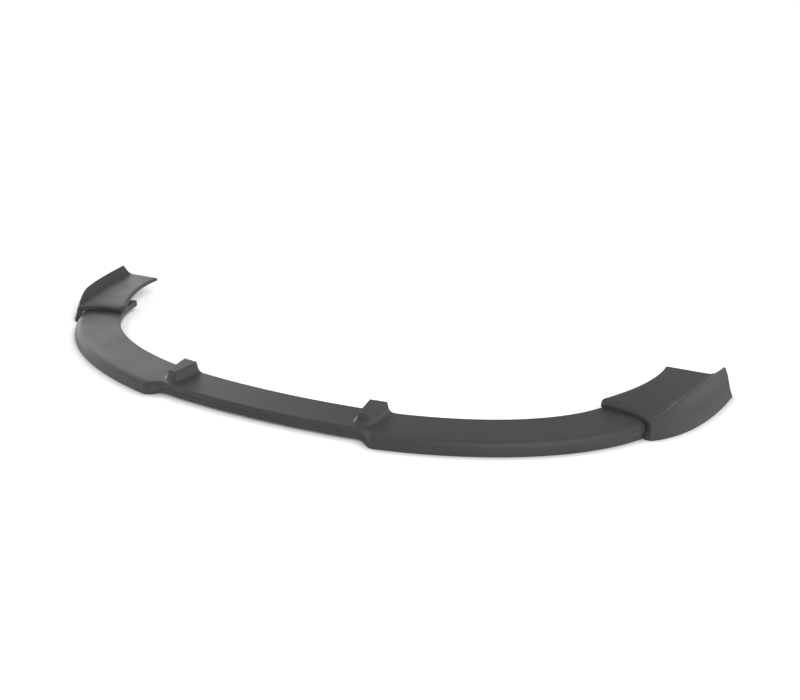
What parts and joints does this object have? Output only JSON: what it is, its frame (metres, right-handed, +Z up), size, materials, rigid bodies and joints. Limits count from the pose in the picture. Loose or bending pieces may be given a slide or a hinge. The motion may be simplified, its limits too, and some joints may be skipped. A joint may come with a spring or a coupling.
{
  "type": "front splitter lip",
  "caption": "Front splitter lip for a car: a crescent blade with wedge bosses on its rear edge and a turned-up finned cap at either end.",
  "frame": {"origin": "centre of the footprint, on the ground line under the wings' and the caps' lower edges", "axes": "+X towards the right-hand cap as seen from the front, +Y from the front edge back towards the car, +Z up from the ground line"},
  "size_m": [1.853, 0.6013, 0.0689],
  "materials": {
    "blade_plastic": "fine-grained satin black",
    "cap_plastic": "fine-grained satin black",
    "screw_steel": "zinc-plated"
  },
  "bodies": {
    "root": {"front_blade": "blade_plastic", "left_end_cap": "cap_plastic", "right_end_cap": "cap_plastic", "left_cap_screws": "screw_steel", "right_cap_screws": "screw_steel"}
  },
  "joints": []
}
